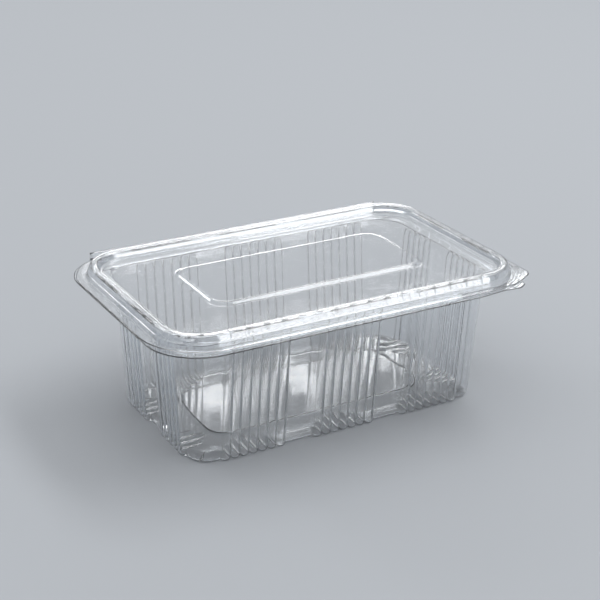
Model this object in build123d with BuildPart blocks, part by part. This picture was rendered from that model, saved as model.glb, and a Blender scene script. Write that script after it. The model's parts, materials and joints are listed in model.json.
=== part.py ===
"""Hinged clear pack: a fluted tray and a lid, thermoformed from one sheet and folded along the back.

Sizes are in millimetres. X runs along the long sides, +Y points to the hinge at the back, +Z is up,
and the floor of the tray rests on z = 0.
"""
import math
import os

from build123d import *

# sheet and running gaps
sheet = 0.45
gap = 0.40
fold_gap = 0.30

# tray body: the plain wall between the flutes at the ledge, and its taper down to the floor
mouth_length = 172.2
mouth_width = 102.6
taper_end = 4.1
taper_side = 5.7
ledge_z = 68.0
floor_corner = 11.0
mouth_corner = 16.0
foot_chamfer = 1.4

# flutes on the walls, in groups with plain wall between them
flute_pitch = 5.0
flute_depth = 2.2
flute_facets = 5
groups_long = 3
groups_short = 2
group_gap = 16.05

# foot band that the pack stands on, and the channels that carry each flute on into the raised floor
foot_band = 5.3
channel_reach = 14.6
floor_rise = 0.9
rib_half = 0.4
rib_slope = 0.5

# panel raised a little more, in the middle of the floor
floor_ring = 19.5
floor_panel_corner = 10.0
floor_panel_rise = 0.7
floor_panel_slope = 0.7

# rim and flange, out from the wall at the ledge
rim_reach_end = 13.4
rim_reach_side = 10.7
rim_corner = 24.0
corner_facets = 8
ledge_lap = 4.0
rim_top = 75.0
rim_lap = 0.5
flange_end = 5.0
flange_side = 6.4
tray_flange_rise = 0.2
tray_flange_corner = 27.0
lid_flange_corner = 31.0
lid_front_set_in = 3.2

# hollow bead of the lid, set in from the rim's foot
step_lean = 0.45
step_height = 2.2
step_tread = 0.5
step_bevel = 0.3
bead_start = 1.7
bead_bevel_out = 0.9
bead_crown = 2.8
bead_bevel_in = 1.0
bead_bevel_height = 0.8
bead_lean_in = 1.1

# hollow bead of the tray, inside the lid's bead
tray_bead_foot = 1.0
tray_bead_start = 2.5
tray_bead_bevel = 0.65
tray_bead_crown = 1.6
tray_bead_lean_in = 1.25

# lid panel and its raised frame
panel_z = 71.6
panel_lap = 2.5
frame_margin_end = 39.0
frame_margin_side = 35.5
frame_corner = 9.0
frame_rise = 1.3

# hinge strip along the back
hinge_end = 17.5
hinge_rise = 3.4
hinge_set_in = 3.0
hinge_foot = 0.3

# levels and outlines that follow from the sizes above
floor_length = mouth_length - 2 * taper_end
floor_width = mouth_width - 2 * taper_side
rim_length = mouth_length + 2 * rim_reach_end
rim_width = mouth_width + 2 * rim_reach_side
half_length = rim_length / 2 + flange_end
half_width = rim_width / 2 + flange_side
tray_flange_z = ledge_z + tray_flange_rise
lid_flange_z = tray_flange_z + gap + sheet
fold_z = tray_flange_z + gap / 2
tray_bead_top = rim_top - sheet - gap
hinge_y = half_width
flange_back = hinge_y - hinge_set_in
hinge_length = 2 * (half_length - hinge_end)
ledge_end = max(rim_reach_end, rim_reach_side) + ledge_lap


def wall_size(z):
    """Half length, half width and corner of the plain tray wall at height z."""
    share = z / ledge_z
    half_x = (floor_length + (mouth_length - floor_length) * share) / 2
    half_y = (floor_width + (mouth_width - floor_width) * share) / 2
    return half_x, half_y, floor_corner + (mouth_corner - floor_corner) * share


def straight_run(axis):
    """Half of the straight stretch of a wall that is there at every height, along X (0) or Y (1)."""
    return min(wall_size(z)[axis] - wall_size(z)[2] for z in (0, ledge_z))


def flute_groups(axis, groups):
    """Middles of the flutes of each group on one side: as many as the straight stretch takes."""
    room = 2 * straight_run(axis) - (groups - 1) * group_gap
    count = int(room / (groups * flute_pitch))
    step = count * flute_pitch + group_gap
    middles = []
    for group in range(groups):
        centre = (group - (groups - 1) / 2) * step
        middles.append([centre + (i - (count - 1) / 2) * flute_pitch for i in range(count)])
    return middles


def fluted_side(span, groups, skin):
    """One side as (along, out) points, one skin in from the outer face: plain runs and round flutes."""
    radius = ((flute_pitch / 2) ** 2 + flute_depth ** 2) / (2 * flute_depth)
    centre = flute_depth - radius
    start = math.asin((-skin - centre) / (radius - skin))
    points = [(-span, -skin)]
    for middle in sum(groups, []):
        for i in range(flute_facets + 1):
            turn = math.pi - start - i * (math.pi - 2 * start) / flute_facets
            along = middle + (radius - skin) * math.cos(turn)
            if along - points[-1][0] > 0.001:
                points.append((along, centre + (radius - skin) * math.sin(turn)))
    return points + [(span, -skin)]


def ribbed_side(span, groups, grow, tip):
    """One side of the raised floor as (along, out) points: ribs run out between the channels to the tip."""
    points = [(-span, grow - foot_band)]
    for group in groups:
        middle = (group[0] + group[-1]) / 2
        fall = (channel_reach - foot_band) / (group[-1] - middle)
        ends = [grow - channel_reach + fall * abs(along - middle) for along in group]
        for i in range(len(group) - 1):
            left = group[i] + flute_pitch / 2 - rib_half - grow
            right = group[i] + flute_pitch / 2 + rib_half + grow
            points += [(left, ends[i]), (left, tip), (right, tip), (right, ends[i + 1])]
    return points + [(span, grow - foot_band)]


def corner_turns(half_x, half_y, corner):
    """The four corners of a rounded rectangle from the front right on, each turned in short straight steps."""
    x = half_x - corner
    y = half_y - corner
    turns = []
    for centre_x, centre_y, start in ((x, -y, -90), (x, y, 0), (-x, y, 90), (-x, -y, 180)):
        angles = [math.radians(start + 90 * i / corner_facets) for i in range(corner_facets + 1)]
        turns.append([(centre_x + corner * math.cos(a), centre_y + corner * math.sin(a)) for a in angles])
    return turns


def rounded_plan(half_x, half_y, corner):
    """Draws a rounded rectangle."""
    Polyline(*sum(corner_turns(half_x, half_y, corner), []), close=True)


def outline(half_x, half_y, corner, side):
    """Draws a plan with four round corners; side(span, groups) gives the points of one side."""
    long_side = side(half_x - corner, flute_groups(0, groups_long))
    short_side = side(half_y - corner, flute_groups(1, groups_short))
    sides = [
        [(along, -half_y - out) for along, out in long_side],
        [(half_x + out, along) for along, out in short_side],
        [(-along, half_y + out) for along, out in long_side],
        [(-half_x - out, -along) for along, out in short_side],
    ]
    grown = long_side[0][1]
    turns = corner_turns(half_x + grown, half_y + grown, corner + grown)
    points = []
    for i in range(4):
        points += sides[i] + turns[i][1:-1]
    Polyline(*points, close=True)


def fluted_outline(z, set_in, skin):
    """Draws the fluted plan of the tray wall at height z."""
    half_x, half_y, corner = wall_size(z)
    outline(
        half_x - set_in, half_y - set_in, corner - set_in, lambda span, groups: fluted_side(span, groups, skin)
    )


def ribbed_outline(grow, tip):
    """Draws the plan of the raised floor, grown on all its sides, with rib ends at the tip from the foot."""
    outline(
        floor_length / 2 - foot_chamfer,
        floor_width / 2 - foot_chamfer,
        floor_corner - foot_chamfer,
        lambda span, groups: ribbed_side(span, groups, grow, tip),
    )


def thick_strip(points, thickness):
    """The sheet's section: a run of points on one face, closed by the same run one thickness away."""
    other = []
    for i, (x, z) in enumerate(points):
        before = points[max(i - 1, 0)]
        after = points[min(i + 1, len(points) - 1)]
        normals = []
        for a, b in ((before, (x, z)), ((x, z), after)):
            run = math.hypot(b[0] - a[0], b[1] - a[1])
            if run > 0:
                normals.append(((b[1] - a[1]) / run, -(b[0] - a[0]) / run))
        nx = sum(n[0] for n in normals) / len(normals)
        nz = sum(n[1] for n in normals) / len(normals)
        scale = thickness / (nx * nx + nz * nz)
        other.append((x + nx * scale, z + nz * scale))
    return list(points) + other[::-1]


def rim_path():
    """Plan of the rim's foot, starting in the middle of the front."""
    turns = corner_turns(rim_length / 2, rim_width / 2, rim_corner)
    Polyline((0, -rim_width / 2), *sum(turns, []), close=True)


def flange_outline(corner, front, tab):
    """Flange plan: round corners, cut off along the hinge, with a tab's points at the front right."""
    left = -half_length
    right = half_length
    middle_y = half_width - corner
    reach = math.sqrt(corner ** 2 - (flange_back - middle_y) ** 2)
    turn = math.atan2(flange_back - middle_y, reach) / 2
    bow_x = corner * math.cos(turn)
    bow_y = middle_y + corner * math.sin(turn)
    bend = corner * (1 - math.sqrt(0.5))
    Line((left, front + corner), (left, middle_y))
    ThreePointArc((left, middle_y), (left + corner - bow_x, bow_y), (left + corner - reach, flange_back))
    Line((left + corner - reach, flange_back), (right - corner + reach, flange_back))
    ThreePointArc((right - corner + reach, flange_back), (right - corner + bow_x, bow_y), (right, middle_y))
    Polyline((right, middle_y), *tab, (left + corner, front))
    ThreePointArc((left + corner, front), (left + bend, front + bend), (left, front + corner))


# section of the rim, as (set in from the rim's foot, height) on the upper face of the sheet
rim_section_plane = Plane(origin=(0, -rim_width / 2, 0), x_dir=(0, 1, 0), z_dir=(1, 0, 0))
crown_start = bead_start + bead_bevel_out
crown_end = crown_start + bead_crown
bead_end = crown_end + bead_bevel_in + bead_lean_in
lid_rim = [
    (-3 * rim_lap, lid_flange_z),
    (0.0, lid_flange_z),
    (step_lean, lid_flange_z + step_height),
    (step_lean + step_tread, lid_flange_z + step_height + step_bevel),
    (bead_start, rim_top - bead_bevel_height),
    (crown_start, rim_top),
    (crown_end, rim_top),
    (crown_end + bead_bevel_in, rim_top - bead_bevel_height),
    (bead_end, panel_z),
    (bead_end + panel_lap, panel_z),
]
tray_crown_start = tray_bead_start + tray_bead_bevel
tray_crown_end = tray_crown_start + tray_bead_crown
tray_rim = [
    (-3 * rim_lap, tray_flange_z),
    (tray_bead_foot, tray_flange_z),
    (tray_bead_start, tray_bead_top - tray_bead_bevel),
    (tray_crown_start, tray_bead_top),
    (tray_crown_end, tray_bead_top),
    (tray_crown_end + tray_bead_bevel, tray_bead_top - tray_bead_bevel),
    (tray_crown_end + tray_bead_bevel + tray_bead_lean_in, ledge_z),
    (ledge_end, ledge_z),
]

# hinge strip, as (y, z) on the inner face of the sheet: a slanted leg and an upright web
hinge_inner = hinge_y - sheet
tray_hinge = [
    (flange_back - rim_lap, tray_flange_z),
    (flange_back, tray_flange_z),
    (hinge_inner - hinge_foot, tray_flange_z - hinge_rise + sheet),
    (hinge_inner, tray_flange_z - hinge_rise + sheet),
    (hinge_inner, fold_z - fold_gap / 2),
]
lid_hinge = [(y, 2 * fold_z - z) for y, z in tray_hinge]


def from_corner(*points):
    """Points given as (in from the right end, in from the front) of the flange's box."""
    return [(half_length - x, -half_width + y) for x, y in points]


# the two opening tabs, side by side at the front right corner
lid_front = -half_width + lid_front_set_in
lid_tab = from_corner(
    (0, 14.5), (2, 11.5), (9.8, 6.9), (15.8, lid_front_set_in + 1.2), (35.8, lid_front_set_in)
)
tray_tab = from_corner((4, 24), (9.2, 7.3), (10.8, 3.1), (14.8, 0.7), (25, 1.6), (38, 0))

with BuildPart() as tray:
    for z, set_in in ((0, foot_chamfer), (foot_chamfer, 0), (ledge_z, 0)):
        with BuildSketch(Plane.XY.offset(z)):
            with BuildLine():
                fluted_outline(z, set_in, 0)
            make_face()
    loft(ruled=True)
    with BuildLine() as tray_way:
        rim_path()
    with BuildSketch(rim_section_plane):
        with BuildLine():
            Polyline(*thick_strip(tray_rim, sheet), close=True)
        make_face()
    sweep(path=tray_way.line, transition=Transition.RIGHT)
    with BuildSketch(Plane.XY.offset(tray_flange_z - sheet)):
        with BuildLine():
            flange_outline(tray_flange_corner, -half_width, tray_tab)
        make_face()
        RectangleRounded(
            rim_length - 2 * rim_lap, rim_width - 2 * rim_lap, rim_corner - rim_lap, mode=Mode.SUBTRACT
        )
    extrude(amount=sheet)
    inner_chamfer = foot_chamfer - sheet * (2 - math.sqrt(2))
    for z, set_in in ((sheet, inner_chamfer), (sheet + inner_chamfer, 0), (ledge_z + sheet, 0)):
        with BuildSketch(Plane.XY.offset(z)):
            with BuildLine():
                fluted_outline(z, set_in, sheet)
            make_face()
    loft(ruled=True, mode=Mode.SUBTRACT)
    for z, grow in ((sheet / 2, rib_slope + sheet / 2), (floor_rise + sheet, sheet / 2)):
        with BuildSketch(Plane.XY.offset(z)):
            with BuildLine():
                ribbed_outline(grow, z - sheet / 2)
            make_face()
    loft(ruled=True)
    for z, grow in ((0, rib_slope - sheet / 2), (floor_rise, -sheet / 2)):
        with BuildSketch(Plane.XY.offset(z)):
            with BuildLine():
                ribbed_outline(grow, -math.sqrt(2) * sheet)
            make_face()
    loft(ruled=True, mode=Mode.SUBTRACT)
    panel_half_x = floor_length / 2 - floor_ring
    panel_half_y = floor_width / 2 - floor_ring
    panel_top = floor_rise + floor_panel_rise
    for z, grow in ((floor_rise + sheet / 2, floor_panel_slope + sheet / 2), (panel_top + sheet, sheet / 2)):
        with BuildSketch(Plane.XY.offset(z)):
            with BuildLine():
                rounded_plan(panel_half_x + grow, panel_half_y + grow, floor_panel_corner + grow)
            make_face()
    loft(ruled=True)
    for z, grow in ((floor_rise, floor_panel_slope - sheet / 2), (panel_top, -sheet / 2)):
        with BuildSketch(Plane.XY.offset(z)):
            with BuildLine():
                rounded_plan(panel_half_x + grow, panel_half_y + grow, floor_panel_corner + grow)
            make_face()
    loft(ruled=True, mode=Mode.SUBTRACT)
    with BuildSketch(Plane.YZ.offset(-hinge_length / 2)):
        with BuildLine():
            Polyline(*thick_strip(tray_hinge, sheet), close=True)
        make_face()
    extrude(amount=hinge_length)
tray.part.label = "tray"

with BuildPart() as lid:
    with BuildLine() as lid_way:
        rim_path()
    with BuildSketch(rim_section_plane):
        with BuildLine():
            Polyline(*thick_strip(lid_rim, sheet), close=True)
        make_face()
    sweep(path=lid_way.line, transition=Transition.RIGHT)
    with BuildSketch(Plane.XY.offset(lid_flange_z - sheet)):
        with BuildLine():
            flange_outline(lid_flange_corner, lid_front, lid_tab)
        make_face()
        RectangleRounded(
            rim_length + 2 * rim_lap, rim_width + 2 * rim_lap, rim_corner + rim_lap, mode=Mode.SUBTRACT
        )
    extrude(amount=sheet)
    with BuildSketch(Plane.XY.offset(panel_z - sheet)):
        plate_set_in = bead_end + panel_lap / 2
        RectangleRounded(rim_length - 2 * plate_set_in, rim_width - 2 * plate_set_in, rim_corner - plate_set_in)
    extrude(amount=sheet)
    frame_half_x = rim_length / 2 - frame_margin_end
    frame_half_y = rim_width / 2 - frame_margin_side
    for z, grow in ((panel_z - sheet / 2, 0), (panel_z + frame_rise, -frame_rise)):
        with BuildSketch(Plane.XY.offset(z)):
            with BuildLine():
                rounded_plan(frame_half_x + grow, frame_half_y + grow, frame_corner + grow)
            make_face()
    loft(ruled=True)
    for z, grow in ((panel_z - sheet, -sheet / 2), (panel_z - sheet + frame_rise, -frame_rise - sheet / 2)):
        with BuildSketch(Plane.XY.offset(z)):
            with BuildLine():
                rounded_plan(frame_half_x + grow, frame_half_y + grow, frame_corner + grow)
            make_face()
    loft(ruled=True, mode=Mode.SUBTRACT)
    with BuildSketch(Plane.YZ.offset(-hinge_length / 2)):
        with BuildLine():
            Polyline(*thick_strip(lid_hinge, -sheet), close=True)
        make_face()
    extrude(amount=hinge_length)
lid.part.label = "lid"

os.makedirs("parts", exist_ok=True)
export_step(tray.part, "parts/tray.step")
export_step(lid.part, "parts/lid.step")
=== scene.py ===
"""Looks of the hinged clear pack: a fluted tray and a lid of one clear thermoformed sheet.

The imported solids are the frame. Each shell is drawn again as one thin formed sheet, with the round edges
that thermoforming leaves, and takes its thickness from a Solidify modifier. The pack's sizes are in
millimetres, and the studio's are in metres.
"""
import json
import math

import bmesh
import bpy
from mathutils import Matrix, Vector


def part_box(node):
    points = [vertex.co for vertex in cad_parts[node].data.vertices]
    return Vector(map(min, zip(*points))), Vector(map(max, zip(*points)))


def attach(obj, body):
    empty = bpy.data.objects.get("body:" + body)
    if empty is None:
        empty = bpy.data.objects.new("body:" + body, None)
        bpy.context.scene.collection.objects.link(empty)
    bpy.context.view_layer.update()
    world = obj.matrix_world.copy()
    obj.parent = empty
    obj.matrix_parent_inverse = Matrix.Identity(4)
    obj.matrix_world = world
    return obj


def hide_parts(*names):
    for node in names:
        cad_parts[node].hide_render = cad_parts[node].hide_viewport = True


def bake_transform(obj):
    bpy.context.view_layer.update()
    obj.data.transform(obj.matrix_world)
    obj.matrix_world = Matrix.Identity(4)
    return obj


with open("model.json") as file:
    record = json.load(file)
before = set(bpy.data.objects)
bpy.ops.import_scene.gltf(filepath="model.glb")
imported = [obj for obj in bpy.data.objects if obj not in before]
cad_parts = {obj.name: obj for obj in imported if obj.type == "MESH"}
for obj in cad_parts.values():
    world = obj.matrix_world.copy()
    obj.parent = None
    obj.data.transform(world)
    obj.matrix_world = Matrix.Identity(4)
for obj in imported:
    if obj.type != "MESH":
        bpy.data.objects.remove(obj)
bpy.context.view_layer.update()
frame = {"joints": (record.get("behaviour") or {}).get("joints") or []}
MM = 0.001

# sizes read from the frame
tray_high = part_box("tray")[1] / MM
lid_low, lid_high = (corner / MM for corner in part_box("lid"))
half_length = tray_high.x
half_width = tray_high.y
lid_front = lid_low.y
rim_top = lid_high.z
fold_axis = Vector(frame["joints"][0]["pos_m"]) / MM
fold_z = fold_axis.z

# sheet and levels; the gap is the one between the lid's bead and the tray's
sheet = 0.45
gap = 0.40
fold_gap = 0.30
ledge_drop = 0.2
panel_drop = 3.4
tray_flange_z = fold_z - gap / 2
lid_flange_z = tray_flange_z + gap + sheet
ledge_z = tray_flange_z - ledge_drop
tray_bead_top = rim_top - sheet - gap
tray_bead_shoulder = 0.65
tray_bead_rounding = 0.5
lid_bead_shoulder = 0.8
lid_bead_rounding = 0.6
panel_z = rim_top - panel_drop

# plan sizes: widths of flange, rim and ledge, and the taper of the walls, at the short and the long sides
flange_width = (5.0, 6.4)
rim_and_ledge_width = (13.4, 10.7)
wall_taper = (4.1, 5.7)
rim_half = (half_length - flange_width[0], half_width - flange_width[1])
rim_corner = 24.0
mouth_half = (rim_half[0] - rim_and_ledge_width[0], rim_half[1] - rim_and_ledge_width[1])
mouth_corner = 16.0
floor_half = (mouth_half[0] - wall_taper[0], mouth_half[1] - wall_taper[1])
floor_corner = 11.0
tray_flange_corner = 27.0
lid_flange_corner = 31.0

# hinge strip along the back
hinge_depth = 3.0
hinge_end = 17.5
hinge_back = half_width
flange_back = hinge_back - hinge_depth
hinge_half = half_length - hinge_end
hinge_rise = 3.4
hinge_foot = 0.3
lid_hinge_lean = 0.2
hinge_rounding = 0.3

# flutes: their spacing, depth, the plain wall between groups, and the numbers on the long and short sides
flute_pitch = 5.0
flute_depth = 2.2
group_gap = 16.05
flute_groups = (3, 2)
flutes_per_group = (7, 5)

# foot and raised floor: the flat band round the foot, the channels that carry each flute on into the floor,
# how far in from the foot a flute's own form lasts, and a rib across each corner of the band
foot_chamfer = 1.4
foot_band = 5.3
band_end = 1.2
channel_reach = 14.6
channel_end = 1.9
flute_fade = 2.9
floor_clear = 0.02
floor_top = sheet + floor_clear
floor_rise = 1.6
corner_rib = 1.6

# corners of the floor's rows: the tightest, and where and how fast they open again towards the panel
floor_corner_least = 3.0
floor_corner_opens = 9.0
floor_corner_growth = 0.85

# the ledge falls a little outwards, and a lug stands across each of its corners
ledge_fall = 0.07
lug_rise = 1.5
lug_half = 1.7
lug_side = 0.4

# the flared lip of the mouth as rows of (depth below the ledge, distance out from the wall), and how far
# below the ledge the flutes start and reach their depth
lip_reach = 1.6
lip_rows = ((0.1, 1.3), (0.4, 1.1), (1.1, 0.85), (1.9, 0.57), (2.7, 0.28), (3.3, 0.1), (3.8, 0.02))
dome_start = 0.6
dome_end = 5.0

# floor panel, lid frame and the ticks on the lid's shoulder
floor_panel_inset = 18.1
floor_panel_corner = 10.0
floor_panel_corner_share = 0.5
floor_panel_rise = 0.7
frame_inset = (39.0, 35.5)
frame_half = (rim_half[0] - frame_inset[0], rim_half[1] - frame_inset[1])
frame_corner = 9.0
frame_corner_share = 0.6
frame_rise = 1.3
tick_pitch = 9.5
tick_depth = 0.35
tick_flat = 0.35
tick_foot = 0.9

# dots of the knurled tabs, drawn coarser than real ones so that they show: their spacing, height and radii,
# distance from rim and edge, number of rows, and run along the front and the right side
knurl_pitch = 1.9
knurl_rise = 0.34
knurl_foot_radius = 0.42 * knurl_pitch
knurl_top_radius = 0.28 * knurl_pitch
knurl_clear = 1.2
knurl_rows = 14
knurl_run = (30.0, 19.0)

# film at the fold
tray_fold_z = fold_z - fold_gap / 2
lid_fold_z = fold_z + fold_gap / 2
film_wall = 0.12
film_lap = 0.25
film_inset = 0.2
film_y = half_width - film_inset

# rows of the two sheets, from the outer edge to the middle: shares of the flange's width; shares of the
# ledge's width with shares of a lug's height; heights of the wall; heights of the foot with their insets
flange_rows = (0.92, 0.5, 0.15)
ledge_start = 7.0
ledge_rows = ((0.05, 0.0), (0.12, 1.0), (0.5, 1.0), (0.83, 1.0), (0.9, 0.0), (1.0, 0.0))
wall_rows = (34, 6, 3.2)
foot_rows = ((1.75, 0.0), (1.25, 0.2), (0.8, 0.6), (0.55, 1.1))

# insets of the floor's rows from the foot, close together where channels end, and of the floor panel's rows
# with their heights
floor_rows = (0.5, 1.6, 2.8, 3.8, 4.5, 5.2, 6.0, 6.9, 7.8, 8.7, 9.6, 10.6, 11.6, 12.6, 13.5, 14.4, 15.5)
floor_panel_rows = (
    (17.8, 0.0), (17.95, 0.12), (18.05, 0.35), (18.15, 0.58),
    (18.3, floor_panel_rise), (19.2, floor_panel_rise), (28.0, floor_panel_rise),
)

# insets of the lid panel's rows from the rim, and of the frame's rows from its edge with their heights
panel_rows = (14.0, 22.0, 30.0)
panel_corner_least = 9.0
frame_rows = (
    (-1.6, 0.0), (-0.5, 0.0), (0.0, 0.08), (0.4, 0.42), (0.9, 0.92), (1.3, 1.24),
    (1.8, frame_rise), (2.9, frame_rise), (10.0, frame_rise),
)

# stations of a corner, from the end of a straight side to the corner's middle, and of a plain wall between
# two groups of flutes, as shares of its width
corner_steps = 10
corner_arc = 15.0
plain_wall_shares = (-0.3, -0.1, 0.1, 0.3)


def rounded(points, radius, steps):
    """The points of a section with each inner corner turned into a short curve."""
    longest_cut = 0.45
    drawn = [points[0]]
    for before, corner, after in zip(points, points[1:], points[2:]):
        back = Vector(before) - Vector(corner)
        on = Vector(after) - Vector(corner)
        cut = min(radius, longest_cut * back.length, longest_cut * on.length)
        start = Vector(corner) + back.normalized() * cut
        end = Vector(corner) + on.normalized() * cut
        for i in range(steps + 1):
            on_share = i / steps
            back_share = 1 - on_share
            bend = 2 * on_share * back_share * Vector(corner)
            drawn.append(tuple(back_share ** 2 * start + bend + on_share * on_share * end))
    return drawn + [points[-1]]


# A station is (side, along): side 0 is the front, 1 the right, 2 the back and 3 the left, and along
# runs from the side's middle to the middle of the corner at each of its ends.
straight = [mouth_half[0] - mouth_corner, floor_half[1] - floor_corner]
reach = [run + corner_arc for run in straight]


def plan_point(station, half, corner, out=0.0):
    """The plan point of a station on a rounded rectangle, moved outwards, and the direction outwards."""
    side, along = station
    half_along, half_out = (half[0], half[1]) if side % 2 == 0 else (half[1], half[0])
    span = half_along - corner
    past = abs(along) - span
    turn = 0.0
    if past > 0:
        turn = math.copysign(past / (reach[side % 2] - span) * math.pi / 4, along)
        along = math.copysign(span, along) + (corner + out) * math.sin(turn)
    off = half_out - corner + (corner + out) * math.cos(turn)
    heading = side * math.pi / 2 + turn
    x, y = ((along, -off), (off, along), (-along, off), (-off, -along))[side]
    return Vector((x, y)), Vector((math.sin(heading), -math.cos(heading)))


def corner_alongs(side):
    """Stations of a side's corner, from the end of the straight run to the corner's middle."""
    run, end = straight[side % 2], reach[side % 2]
    return [run + (end - run) * i / corner_steps for i in range(corner_steps + 1)]


def closed_ring(alongs_of_side):
    """All stations round the pack, anticlockwise from above; each corner's middle is there once."""
    ring = []
    for side in range(4):
        ring += [(side, along) for along in alongs_of_side(side)[1:]]
    return ring


def flute_middles(side):
    """Where the middles of a side's flutes lie along it."""
    groups, count = flute_groups[side % 2], flutes_per_group[side % 2]
    step = count * flute_pitch + group_gap
    return [
        (group - (groups - 1) / 2) * step + (i - (count - 1) / 2) * flute_pitch
        for group in range(groups)
        for i in range(count)
    ]


# section of a flute: an arc through its depth and its pitch, and the inner face a sheet's thickness inside it
flute_radius = ((flute_pitch / 2) ** 2 + flute_depth ** 2) / (2 * flute_depth)
flute_centre = flute_depth - flute_radius
inner_radius = flute_radius - sheet
half_mouth = math.sqrt(inner_radius ** 2 - (sheet + flute_centre) ** 2)
flute_swell = flute_centre + inner_radius + sheet
flute_steps = 8


def tray_alongs(side):
    """Stations of one side of the tray: the flutes, the plain wall between groups, and the corners."""
    alongs = set()
    for middle in flute_middles(side):
        for i in range(flute_steps + 1):
            alongs.add(round(middle - half_mouth * math.cos(math.pi * i / flute_steps), 4))
        alongs.add(round(middle - flute_pitch / 2, 4))
        alongs.add(round(middle + flute_pitch / 2, 4))
    step = flutes_per_group[side % 2] * flute_pitch + group_gap
    for group in range(flute_groups[side % 2] - 1):
        centre = (group - (flute_groups[side % 2] - 2) / 2) * step
        for share in plain_wall_shares:
            alongs.add(round(centre + share * group_gap, 4))
    end = reach[side % 2]
    corner_details = [end - 0.5 * corner_rib, end - lug_half, end - lug_half - lug_side]
    for along in corner_alongs(side) + corner_details:
        alongs.add(round(along, 4))
        alongs.add(round(-along, 4))
    return sorted(alongs)


def flute_out(station):
    """How far the inner face of the wall stands out at a station: a round flute or the plain wall."""
    side, along = station
    for middle in flute_middles(side):
        off = abs(along - middle)
        if off < half_mouth:
            return flute_centre + math.sqrt(inner_radius ** 2 - off ** 2)
    return -sheet


def channel_share(station, from_foot):
    """How deep the floor is at a station: 1 on the foot band or in a channel, 0 where it is raised."""
    slack = 0.001
    side, along = station
    count = flutes_per_group[side % 2]
    halfway = (count - 1) / 2
    end, run = foot_band, band_end
    across = max(0.0, 1 - (reach[side % 2] - abs(along)) / corner_rib)
    for i, middle in enumerate(flute_middles(side)):
        off = along - middle
        if abs(off) > flute_pitch / 2 + slack:
            continue
        place = i % count
        end = channel_reach - (channel_reach - foot_band) * abs(place - halfway) / halfway
        run = channel_end
        beside_plain_wall = (place == 0 and off < 0) or (place == count - 1 and off > 0)
        across = 0.0 if beside_plain_wall else min(1.0, abs(off) / half_mouth)
        break
    past = min(1.0, max(0.0, (from_foot - end + run) / run))
    return math.sqrt(max(0.0, 1 - across ** 2 - past ** 2))


def lug_share(station):
    """1 on the lug across a corner of the ledge, 0 beside it."""
    side, along = station
    return min(1.0, max(0.0, (lug_half + lug_side - (reach[side % 2] - abs(along))) / lug_side))


def tick_cells(side):
    """How many cells a side of the lid has, each with a tick in its middle, and how wide they are."""
    length = 2 * reach[side % 2]
    cells = round(length / tick_pitch)
    return cells, length / cells


def lid_alongs(side):
    """Stations of one side of the lid: close together at each tick, wide apart between ticks."""
    end = reach[side % 2]
    cells, width = tick_cells(side)
    between = 0.3 * width
    alongs = {round(-end, 4), round(end, 4)}
    for cell in range(cells):
        middle = -end + (cell + 0.5) * width
        for offset in (-tick_foot, -tick_flat, tick_flat, tick_foot, -between, between, 0.5 * width):
            alongs.add(round(middle + offset, 4))
    return sorted(alongs)


def tick_at(station):
    """1 in a tick, 0 beside it."""
    side, along = station
    width = tick_cells(side)[1]
    off = abs((along + reach[side % 2]) % width - width / 2)
    return 1.0 if off < (tick_flat + tick_foot) / 2 else 0.0


def flange_points(corner, front, tab):
    """The flange's edge as a closed run of plan points: round corners, the hinge's cut and the tab."""
    back_steps, front_steps = 12, 16
    back_y = half_width - corner
    front_y = front + corner
    end_x = half_length - corner
    stop = math.asin((flange_back - back_y) / corner)
    turns = [stop * i / back_steps for i in range(back_steps + 1)]
    quarter = [math.pi / 2 * i / front_steps for i in range(front_steps + 1)]
    points = [(end_x + corner * math.cos(turn), back_y + corner * math.sin(turn)) for turn in turns]
    points += [(-x, y) for x, y in points[::-1]]
    points += [(-end_x - corner * math.cos(turn), front_y - corner * math.sin(turn)) for turn in quarter]
    return points + tab[::-1]


def from_corner(*points):
    """Points given as (in from the right end, in from the front) of the flange's box."""
    return [(half_length - x, -half_width + y) for x, y in points]


# the opening tabs, each from the right side round to the front
lid_set_in = lid_front + half_width
tray_tab = from_corner((4, 24), (9.2, 7.3), (10.8, 3.1), (14.8, 0.7), (25, 1.6), (38, 0))
lid_tab = from_corner((0, 14.5), (2, 11.5), (9.8, 6.9), (15.8, lid_set_in + 1.2), (35.8, lid_set_in))


def edge_hit(start, heading, outline):
    """Where a line from the rim's foot first meets the flange's edge."""
    slack = 1e-6
    best = None
    for a, b in zip(outline, outline[1:] + outline[:1]):
        a, b = Vector(a), Vector(b)
        run = b - a
        cross = heading.x * run.y - heading.y * run.x
        if abs(cross) < 1e-9:
            continue
        gap_to = a - start
        far = (gap_to.x * run.y - gap_to.y * run.x) / cross
        share = (gap_to.x * heading.y - gap_to.y * heading.x) / cross
        if far > 0 and -slack <= share <= 1 + slack and (best is None or far < best):
            best = far
    return start + heading * best


def flange_edge(ring, outline, tab):
    """The edge point of each station; the station nearest to each point of the tab takes that point."""
    edge = []
    for station in ring:
        start, heading = plan_point(station, rim_half, rim_corner)
        edge.append(edge_hit(start, heading, outline))
    for point in tab:
        nearest = min(range(len(edge)), key=lambda i: (edge[i] - Vector(point)).length)
        edge[nearest] = Vector(point)
    return edge


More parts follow.
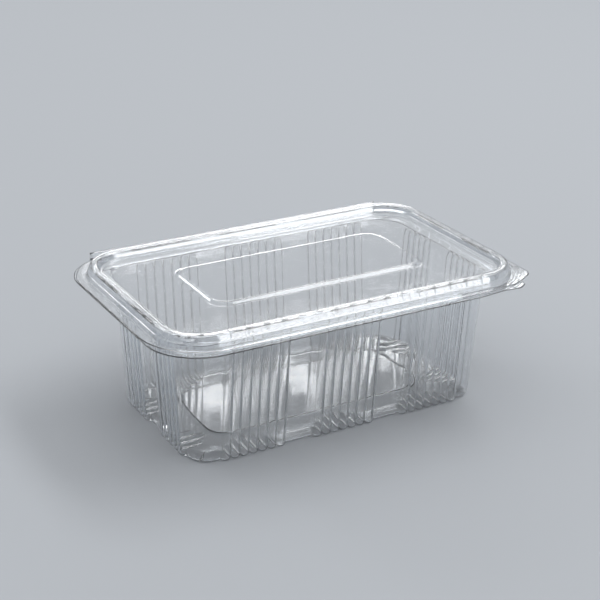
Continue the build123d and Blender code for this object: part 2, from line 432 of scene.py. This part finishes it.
class Sheet:
    """A formed sheet that grows row by row, each extruded from the last and moved to its place."""

    sharp_angle = math.radians(50)

    def __init__(self, ring, first_row):
        self.bm = bmesh.new()
        self.layer = self.bm.verts.layers.int.new("station")
        made = bmesh.ops.create_circle(self.bm, segments=len(ring), radius=1.0)
        for i, vert in enumerate(made["verts"]):
            vert[self.layer] = i
        self.edges = list(self.bm.edges)
        self.place(made["verts"], first_row)

    def place(self, verts, row):
        """Moves the points of one row to where row(station number) says, in millimetres."""
        for vert in verts:
            vert.co = Vector(row(vert[self.layer])) * MM

    def grow(self, row):
        """Adds the next row inwards."""
        self.edges = self.extrude(self.edges, row)

    def extrude(self, edges, row):
        """Extrudes edges into a new row, and returns the row's own edges."""
        made = bmesh.ops.extrude_edge_only(self.bm, edges=edges)["geom"]
        verts = {item for item in made if isinstance(item, bmesh.types.BMVert)}
        self.place(verts, row)
        new_edges = [item for item in made if isinstance(item, bmesh.types.BMEdge)]
        return [edge for edge in new_edges if set(edge.verts) <= verts]

    def close(self):
        """Fills the last row with one flat face."""
        bmesh.ops.contextual_create(self.bm, geom=self.edges)

    def finish(self, name, material, body, node):
        """Makes the piece, with its upper face outside, and tells the frame what it stands for."""
        bmesh.ops.recalc_face_normals(self.bm, faces=self.bm.faces)
        widest = max(self.bm.faces, key=lambda face: face.calc_area())
        if widest.normal.z < 0:
            bmesh.ops.reverse_faces(self.bm, faces=self.bm.faces)
        mesh = bpy.data.meshes.new(name)
        self.bm.to_mesh(mesh)
        self.bm.free()
        mesh.shade_smooth()
        mesh.set_sharp_from_angle(angle=self.sharp_angle)
        mesh.materials.append(material)
        piece = bpy.data.objects.new(name, mesh)
        bpy.context.scene.collection.objects.link(piece)
        wall = piece.modifiers.new("sheet", "SOLIDIFY")
        wall.thickness = sheet * MM
        wall.offset = -1
        wall.use_quality_normals = True
        flats = piece.modifiers.new("flat_faces_stay_flat", "WEIGHTED_NORMAL")
        flats.keep_sharp = True
        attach(piece, body)
        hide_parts(node)


def add_hinge(shell, first_edges, section):
    """Grows the hinge strip from the flange's back edge, row by row along its section of (y, z) points."""
    least_y = (flange_back - 0.2) * MM
    most_x = (hinge_half + 0.8) * MM
    end_slack = 0.3
    edges = [
        edge for edge in first_edges
        if all(vert.co.y > least_y and abs(vert.co.x) < most_x for vert in edge.verts)
    ]
    xs = {vert[shell.layer]: vert.co.x / MM for edge in edges for vert in edge.verts}
    end = max(abs(x) for x in xs.values())
    for y, z in section:
        def hinge_row(i):
            at_end = abs(xs[i]) > end - end_slack
            return math.copysign(hinge_half, xs[i]) if at_end else xs[i], y, z
        edges = shell.extrude(edges, hinge_row)


def rim_row(ring, half, corner, z, out=None):
    """A row on a rounded rectangle at one height; out may move each station outwards."""
    def row(i):
        point = plan_point(ring[i], half, corner, out(ring[i]) if out else 0.0)[0]
        return point.x, point.y, z
    return row


def inset(half, by):
    """Half sizes of a rounded rectangle that lies inside another by a distance."""
    return half[0] - by, half[1] - by


def flange_row(ring, edge, share, z):
    """A row of the flange, at a share of the way from the rim's foot to the edge."""
    def row(i):
        foot = plan_point(ring[i], rim_half, rim_corner)[0]
        point = foot.lerp(edge[i], share)
        return point.x, point.y, z
    return row


# materials
def linear(hex_colour):
    """An sRGB hex colour as linear red, green, blue and full alpha."""
    parts = [int(hex_colour[i:i + 2], 16) / 255 for i in (1, 3, 5)]
    return [part / 12.92 if part <= 0.04045 else ((part + 0.055) / 1.055) ** 2.4 for part in parts] + [1.0]


def add_node(tree, kind, links=None, **settings):
    """Adds one node, sets its named inputs and settings, and links outputs into its inputs."""
    node = tree.nodes.new(kind)
    for name, value in settings.items():
        if name in node.inputs:
            node.inputs[name].default_value = value
        else:
            setattr(node, name, value)
    for name, source in (links or {}).items():
        tree.links.new(source, node.inputs[name])
    return node


def clear_sheet(name, tint):
    """Clear PET sheet, vacuum formed: glass-clear and glossy, with slow waves and faint scuffs."""
    scuff_size, wave_size, wave_height = 5 * MM, 14 * MM, 0.4 * MM
    material = bpy.data.materials.new(name)
    material.use_nodes = True
    tree = material.node_tree
    shader = tree.nodes["Principled BSDF"]
    shader.inputs["Base Color"].default_value = linear(tint)
    shader.inputs["Transmission Weight"].default_value = 1.0
    shader.inputs["IOR"].default_value = 1.57
    place = add_node(tree, "ShaderNodeTexCoord")
    scuffs = add_node(
        tree, "ShaderNodeTexNoise", {"Vector": place.outputs["Object"]},
        Scale=1 / scuff_size, Detail=4.0, Roughness=0.6,
    )
    gloss = add_node(tree, "ShaderNodeMapRange", {"Value": scuffs.outputs["Fac"]})
    gloss.inputs["From Min"].default_value = 0.35
    gloss.inputs["From Max"].default_value = 0.75
    gloss.inputs["To Min"].default_value = 0.02
    gloss.inputs["To Max"].default_value = 0.06
    tree.links.new(gloss.outputs["Result"], shader.inputs["Roughness"])
    waves = add_node(
        tree, "ShaderNodeTexNoise", {"Vector": place.outputs["Object"]},
        Scale=1 / wave_size, Detail=2.0, Roughness=0.4,
    )
    bump = add_node(
        tree, "ShaderNodeBump", {"Height": waves.outputs["Fac"]}, Strength=0.05, Distance=wave_height,
    )
    tree.links.new(bump.outputs["Normal"], shader.inputs["Normal"])
    return material


tray_material = clear_sheet("clear_pet_tray", "#FBFCFD")
lid_material = clear_sheet("clear_pet_lid", "#FBFCFD")


def wall_size(z):
    """Half sizes and corner of the tapered wall at a height."""
    share = z / ledge_z
    half = tuple(low + (high - low) * share for low, high in zip(floor_half, mouth_half))
    return half, floor_corner + (mouth_corner - floor_corner) * share


def mouth_row(ring, depth, lip):
    """A row of the wall just below the ledge: the flared lip, and flutes that end in round domes."""
    half, corner = wall_size(ledge_z - depth)
    short = 1 - min(1.0, max(0.0, (depth - dome_start) / (dome_end - dome_start)))

    def out(station):
        swell = flute_out(station) + sheet
        return lip - sheet + math.sqrt(max(0.0, swell ** 2 - (short * flute_swell) ** 2))
    return rim_row(ring, half, corner, ledge_z - depth, out)


def make_tray():
    """The tray: flange, hollow bead, ledge, fluted wall, floor with channels, and hinge strip."""
    ring = closed_ring(tray_alongs)
    edge = flange_edge(ring, flange_points(tray_flange_corner, -half_width, tray_tab), tray_tab)
    shell = Sheet(ring, flange_row(ring, edge, 1.0, tray_flange_z))
    outer_edges = list(shell.edges)
    for share in flange_rows:
        shell.grow(flange_row(ring, edge, share, tray_flange_z))
    section = [
        (0.0, tray_flange_z),
        (1.0, tray_flange_z),
        (2.5, tray_bead_top - tray_bead_shoulder),
        (3.15, tray_bead_top),
        (4.75, tray_bead_top),
        (5.4, tray_bead_top - tray_bead_shoulder),
        (6.65, ledge_z - ledge_fall),
        (ledge_start, ledge_z - ledge_fall),
    ]
    for by, z in rounded(section, tray_bead_rounding, steps=1)[1:]:
        shell.grow(rim_row(ring, inset(rim_half, by), rim_corner - by, z))
    half, corner = wall_size(ledge_z)
    for share, up in ledge_rows:
        def ledge_row(i):
            outer = plan_point(ring[i], inset(rim_half, ledge_start), rim_corner - ledge_start)[0]
            inner = plan_point(ring[i], half, corner, lip_reach - sheet)[0]
            point = outer.lerp(inner, share)
            lug = lug_rise * up * lug_share(ring[i])
            return point.x, point.y, ledge_z - ledge_fall * (1 - share) + lug
        shell.grow(ledge_row)
    for depth, lip in lip_rows:
        shell.grow(mouth_row(ring, depth, lip))
    shell.grow(mouth_row(ring, dome_end, 0.0))
    for z in wall_rows:
        half, corner = wall_size(z)
        shell.grow(rim_row(ring, half, corner, z, flute_out))
    foot_half, foot_corner = wall_size(0)

    def floor_z(i, from_foot):
        return floor_top + floor_rise * (1 - channel_share(ring[i], from_foot))

    for z, by in foot_rows:
        def foot_row(i):
            out = flute_out(ring[i])
            point = plan_point(ring[i], inset(foot_half, by), foot_corner - by, out)[0]
            return point.x, point.y, max(z, floor_z(i, 0.0))
        shell.grow(foot_row)
    foot = inset(foot_half, foot_chamfer)
    for by in floor_rows:
        corner = max(floor_corner_least, foot_corner - foot_chamfer - by)
        corner += max(0.0, by - floor_corner_opens) * floor_corner_growth

        def floor_row(i):
            point, heading = plan_point(ring[i], inset(foot, by), corner)
            point += heading * max(0.0, 1 - by / flute_fade) * (flute_out(ring[i]) + sheet)
            return point.x, point.y, floor_z(i, by)
        shell.grow(floor_row)
    ring_top = floor_top + floor_rise
    for by, up in floor_panel_rows:
        corner = floor_panel_corner - floor_panel_corner_share * (by - floor_panel_inset)
        shell.grow(rim_row(ring, inset(foot, by), corner, ring_top + up))
    shell.close()
    inner = hinge_back - sheet
    low = tray_flange_z - hinge_rise + sheet
    add_hinge(shell, outer_edges, rounded([
        (flange_back, tray_flange_z), (inner - hinge_foot, low), (inner, low), (inner, tray_fold_z),
    ], hinge_rounding, steps=2)[1:])
    shell.finish("tray_shell", tray_material, "tray", "tray")


def make_lid():
    """The lid: flange, hollow bead with a ticked shoulder, recessed panel, raised frame, hinge strip."""
    ring = closed_ring(lid_alongs)
    edge = flange_edge(ring, flange_points(lid_flange_corner, lid_front, lid_tab), lid_tab)
    shell = Sheet(ring, flange_row(ring, edge, 1.0, lid_flange_z))
    outer_edges = list(shell.edges)
    for share in flange_rows:
        shell.grow(flange_row(ring, edge, share, lid_flange_z))
    section = [
        (-0.2, lid_flange_z),
        (0.0, lid_flange_z),
        (0.45, lid_flange_z + 2.2),
        (0.95, lid_flange_z + 2.5),
        (1.7, rim_top - lid_bead_shoulder),
        (2.6, rim_top),
        (5.4, rim_top),
        (6.4, rim_top - lid_bead_shoulder),
        (7.5, panel_z),
        (10.0, panel_z),
    ]
    shoulder_start, shoulder_end = 1.2, 2.5

    def tick_out(station):
        return -tick_depth * tick_at(station)

    for by, z in rounded(section, lid_bead_rounding, steps=3)[1:]:
        out = tick_out if shoulder_start < by < shoulder_end else None
        shell.grow(rim_row(ring, inset(rim_half, by), rim_corner - by, z, out))
    for by in panel_rows:
        shell.grow(rim_row(ring, inset(rim_half, by), max(rim_corner - by, panel_corner_least), panel_z))
    for by, up in frame_rows:
        half = inset(frame_half, by)
        shell.grow(rim_row(ring, half, frame_corner - frame_corner_share * by, panel_z + up))
    shell.close()
    high = lid_flange_z + hinge_rise - sheet
    bend = hinge_back - sheet - hinge_foot - lid_hinge_lean
    add_hinge(shell, outer_edges, rounded([
        (flange_back, lid_flange_z), (bend, high), (hinge_back, high), (hinge_back, lid_fold_z),
    ], hinge_rounding, steps=2)[1:])
    shell.finish("lid_shell", lid_material, "lid", "lid")


def make_knurl(name, material, outline, top, body):
    """Small raised dots on an opening tab, in rows that follow the rim round the front right corner."""
    bm = bmesh.new()
    stride = 0.1
    row_share = 0.87
    sunk_share = 0.05
    front = [(0, reach[0] - knurl_run[0] + stride * i) for i in range(round(knurl_run[0] / stride))]
    right = [(1, -reach[1] + stride * i) for i in range(round(knurl_run[1] / stride))]
    for row in range(knurl_rows):
        out = knurl_clear + row * knurl_pitch * row_share
        walked = 0.5 * knurl_pitch * (row % 2)
        before = None
        for station in front + right:
            foot, heading = plan_point(station, rim_half, rim_corner)
            point = foot + heading * out
            walked += (point - before).length if before else 0.0
            before = point
            if walked < knurl_pitch:
                continue
            walked -= knurl_pitch
            if out > (edge_hit(foot, heading, outline) - foot).length - knurl_clear:
                continue
            middle = Vector((point.x, point.y, top + (0.5 - sunk_share) * knurl_rise))
            bmesh.ops.create_cone(
                bm, cap_ends=True, segments=8, radius1=knurl_foot_radius * MM, radius2=knurl_top_radius * MM,
                depth=knurl_rise * MM, matrix=Matrix.Translation(middle * MM),
            )
    mesh = bpy.data.meshes.new(name)
    bm.to_mesh(mesh)
    bm.free()
    mesh.materials.append(material)
    dots = bpy.data.objects.new(name, mesh)
    bpy.context.scene.collection.objects.link(dots)
    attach(dots, body)


def make_fold_film():
    """The thin film at the fold: a flat strip that spans the gap between the two halves of the hinge strip.
    """
    bm = bmesh.new()
    bmesh.ops.create_grid(bm, x_segments=24, y_segments=6, size=1.0)
    low, high = tray_fold_z - film_lap, lid_fold_z + film_lap
    for vert in bm.verts:
        x, up = vert.co.x, (vert.co.y + 1) / 2
        vert.co = Vector((x * hinge_half, film_y, low + (high - low) * up)) * MM
    mesh = bpy.data.meshes.new("fold_film")
    bm.to_mesh(mesh)
    bm.free()
    mesh.shade_smooth()
    mesh.materials.append(lid_material)
    film = bpy.data.objects.new("fold_film", mesh)
    bpy.context.scene.collection.objects.link(film)
    wall = film.modifiers.new("film", "SOLIDIFY")
    wall.thickness = film_wall * MM
    wall.offset = 0
    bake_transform(film)


make_tray()
make_lid()
make_knurl("tray_tab_knurl", tray_material, flange_points(tray_flange_corner, -half_width, tray_tab),
           tray_flange_z, "tray")
make_knurl("lid_tab_knurl", lid_material, flange_points(lid_flange_corner, lid_front, lid_tab),
           lid_flange_z, "lid")
make_fold_film()


# floor, light and camera
def studio():
    """A pale floor, a soft room, and lamps whose reflections draw the sheet's edges."""
    floor_half_size = 6.0
    floor_material = bpy.data.materials.new("pale_floor")
    floor_material.use_nodes = True
    shader = floor_material.node_tree.nodes["Principled BSDF"]
    shader.inputs["Base Color"].default_value = linear("#BCC0C5")
    shader.inputs["Roughness"].default_value = 0.9
    shader.inputs["Specular IOR Level"].default_value = 0.0
    bm = bmesh.new()
    bmesh.ops.create_grid(bm, x_segments=2, y_segments=2, size=floor_half_size)
    mesh = bpy.data.meshes.new("floor")
    bm.to_mesh(mesh)
    bm.free()
    mesh.materials.append(floor_material)
    floor = bpy.data.objects.new("floor", mesh)
    bpy.context.scene.collection.objects.link(floor)

    world = bpy.data.worlds.new("soft_room")
    world.use_nodes = True
    tree = world.node_tree
    direction = add_node(tree, "ShaderNodeTexCoord")
    heights = add_node(tree, "ShaderNodeSeparateXYZ", {"Vector": direction.outputs["Generated"]})
    sky = add_node(tree, "ShaderNodeValToRGB", {"Fac": heights.outputs["Z"]})
    sky.color_ramp.elements[0].color = linear("#8E9196")
    sky.color_ramp.elements[1].color = linear("#FFFFFF")
    tree.links.new(sky.outputs["Color"], tree.nodes["Background"].inputs["Color"])
    tree.nodes["Background"].inputs["Strength"].default_value = 0.98
    bpy.context.scene.world = world

    # name, place, aim and size in metres, watts
    lamps = (
        ("low_back_strip", (1.57, 3.0, 1.16), (1.57, 0, 1.16), (1.3, 0.22), 6),
        ("high_back_strip", (2.0, 3.0, 1.70), (2.0, 0, 1.70), (1.6, 0.10), 2),
        ("left_back_softbox", (-0.99, 1.99, 1.14), (0, 0, 0.07), (0.5, 0.5), 4),
        ("top_softbox", (1.0, -0.1, 1.75), (0, 0, 0.05), (1.9, 0.45), 11),
        ("front_softbox", (0.9, -1.75, 0.68), (0, 0, 0.68), (0.85, 1.25), 11),
    )
    for name, place, aim, size, power in lamps:
        lamp = bpy.data.lights.new(name, "AREA")
        lamp.shape = "RECTANGLE"
        lamp.size, lamp.size_y = size
        lamp.energy = power
        holder = bpy.data.objects.new(name, lamp)
        holder.location = place
        holder.rotation_euler = (Vector(aim) - Vector(place)).to_track_quat("-Z", "Y").to_euler()
        # the front lamp is seen in reflections only, so that it leaves no bright pool on the floor
        holder.visible_diffuse = name != "front_softbox"
        bpy.context.scene.collection.objects.link(holder)


def camera():
    """The photograph's viewpoint: seen from the front left and above, a little rolled."""
    azimuth, elevation, roll = (math.radians(a) for a in (-29.831, 23.204, 0.725))
    away, aside, above = 765.403 * MM, 0.891 * MM, 49.283 * MM
    back = Vector((
        math.sin(azimuth) * math.cos(elevation),
        -math.cos(azimuth) * math.cos(elevation),
        math.sin(elevation),
    ))
    level = Vector((math.cos(azimuth), math.sin(azimuth), 0))
    lift = back.cross(level)
    right = level * math.cos(roll) + lift * math.sin(roll)
    up = lift * math.cos(roll) - level * math.sin(roll)
    focal_pixels, frame_pixels = 1444.58, 600
    lens = bpy.data.cameras.new("camera")
    lens.sensor_width = 36
    lens.lens = lens.sensor_width * focal_pixels / frame_pixels
    lens.clip_start = 0.01
    holder = bpy.data.objects.new("camera", lens)
    turn = Matrix((right, up, back)).transposed().to_4x4()
    holder.matrix_world = Matrix.Translation(back * away + right * aside + up * above) @ turn
    bpy.context.scene.collection.objects.link(holder)
    bpy.context.scene.camera = holder


studio()
camera()
scene = bpy.context.scene
scene.view_settings.view_transform = "Standard"
# enough bounces for light to pass through the many clear walls
scene.cycles.max_bounces = 32
scene.cycles.transmission_bounces = 32
scene.cycles.glossy_bounces = 8
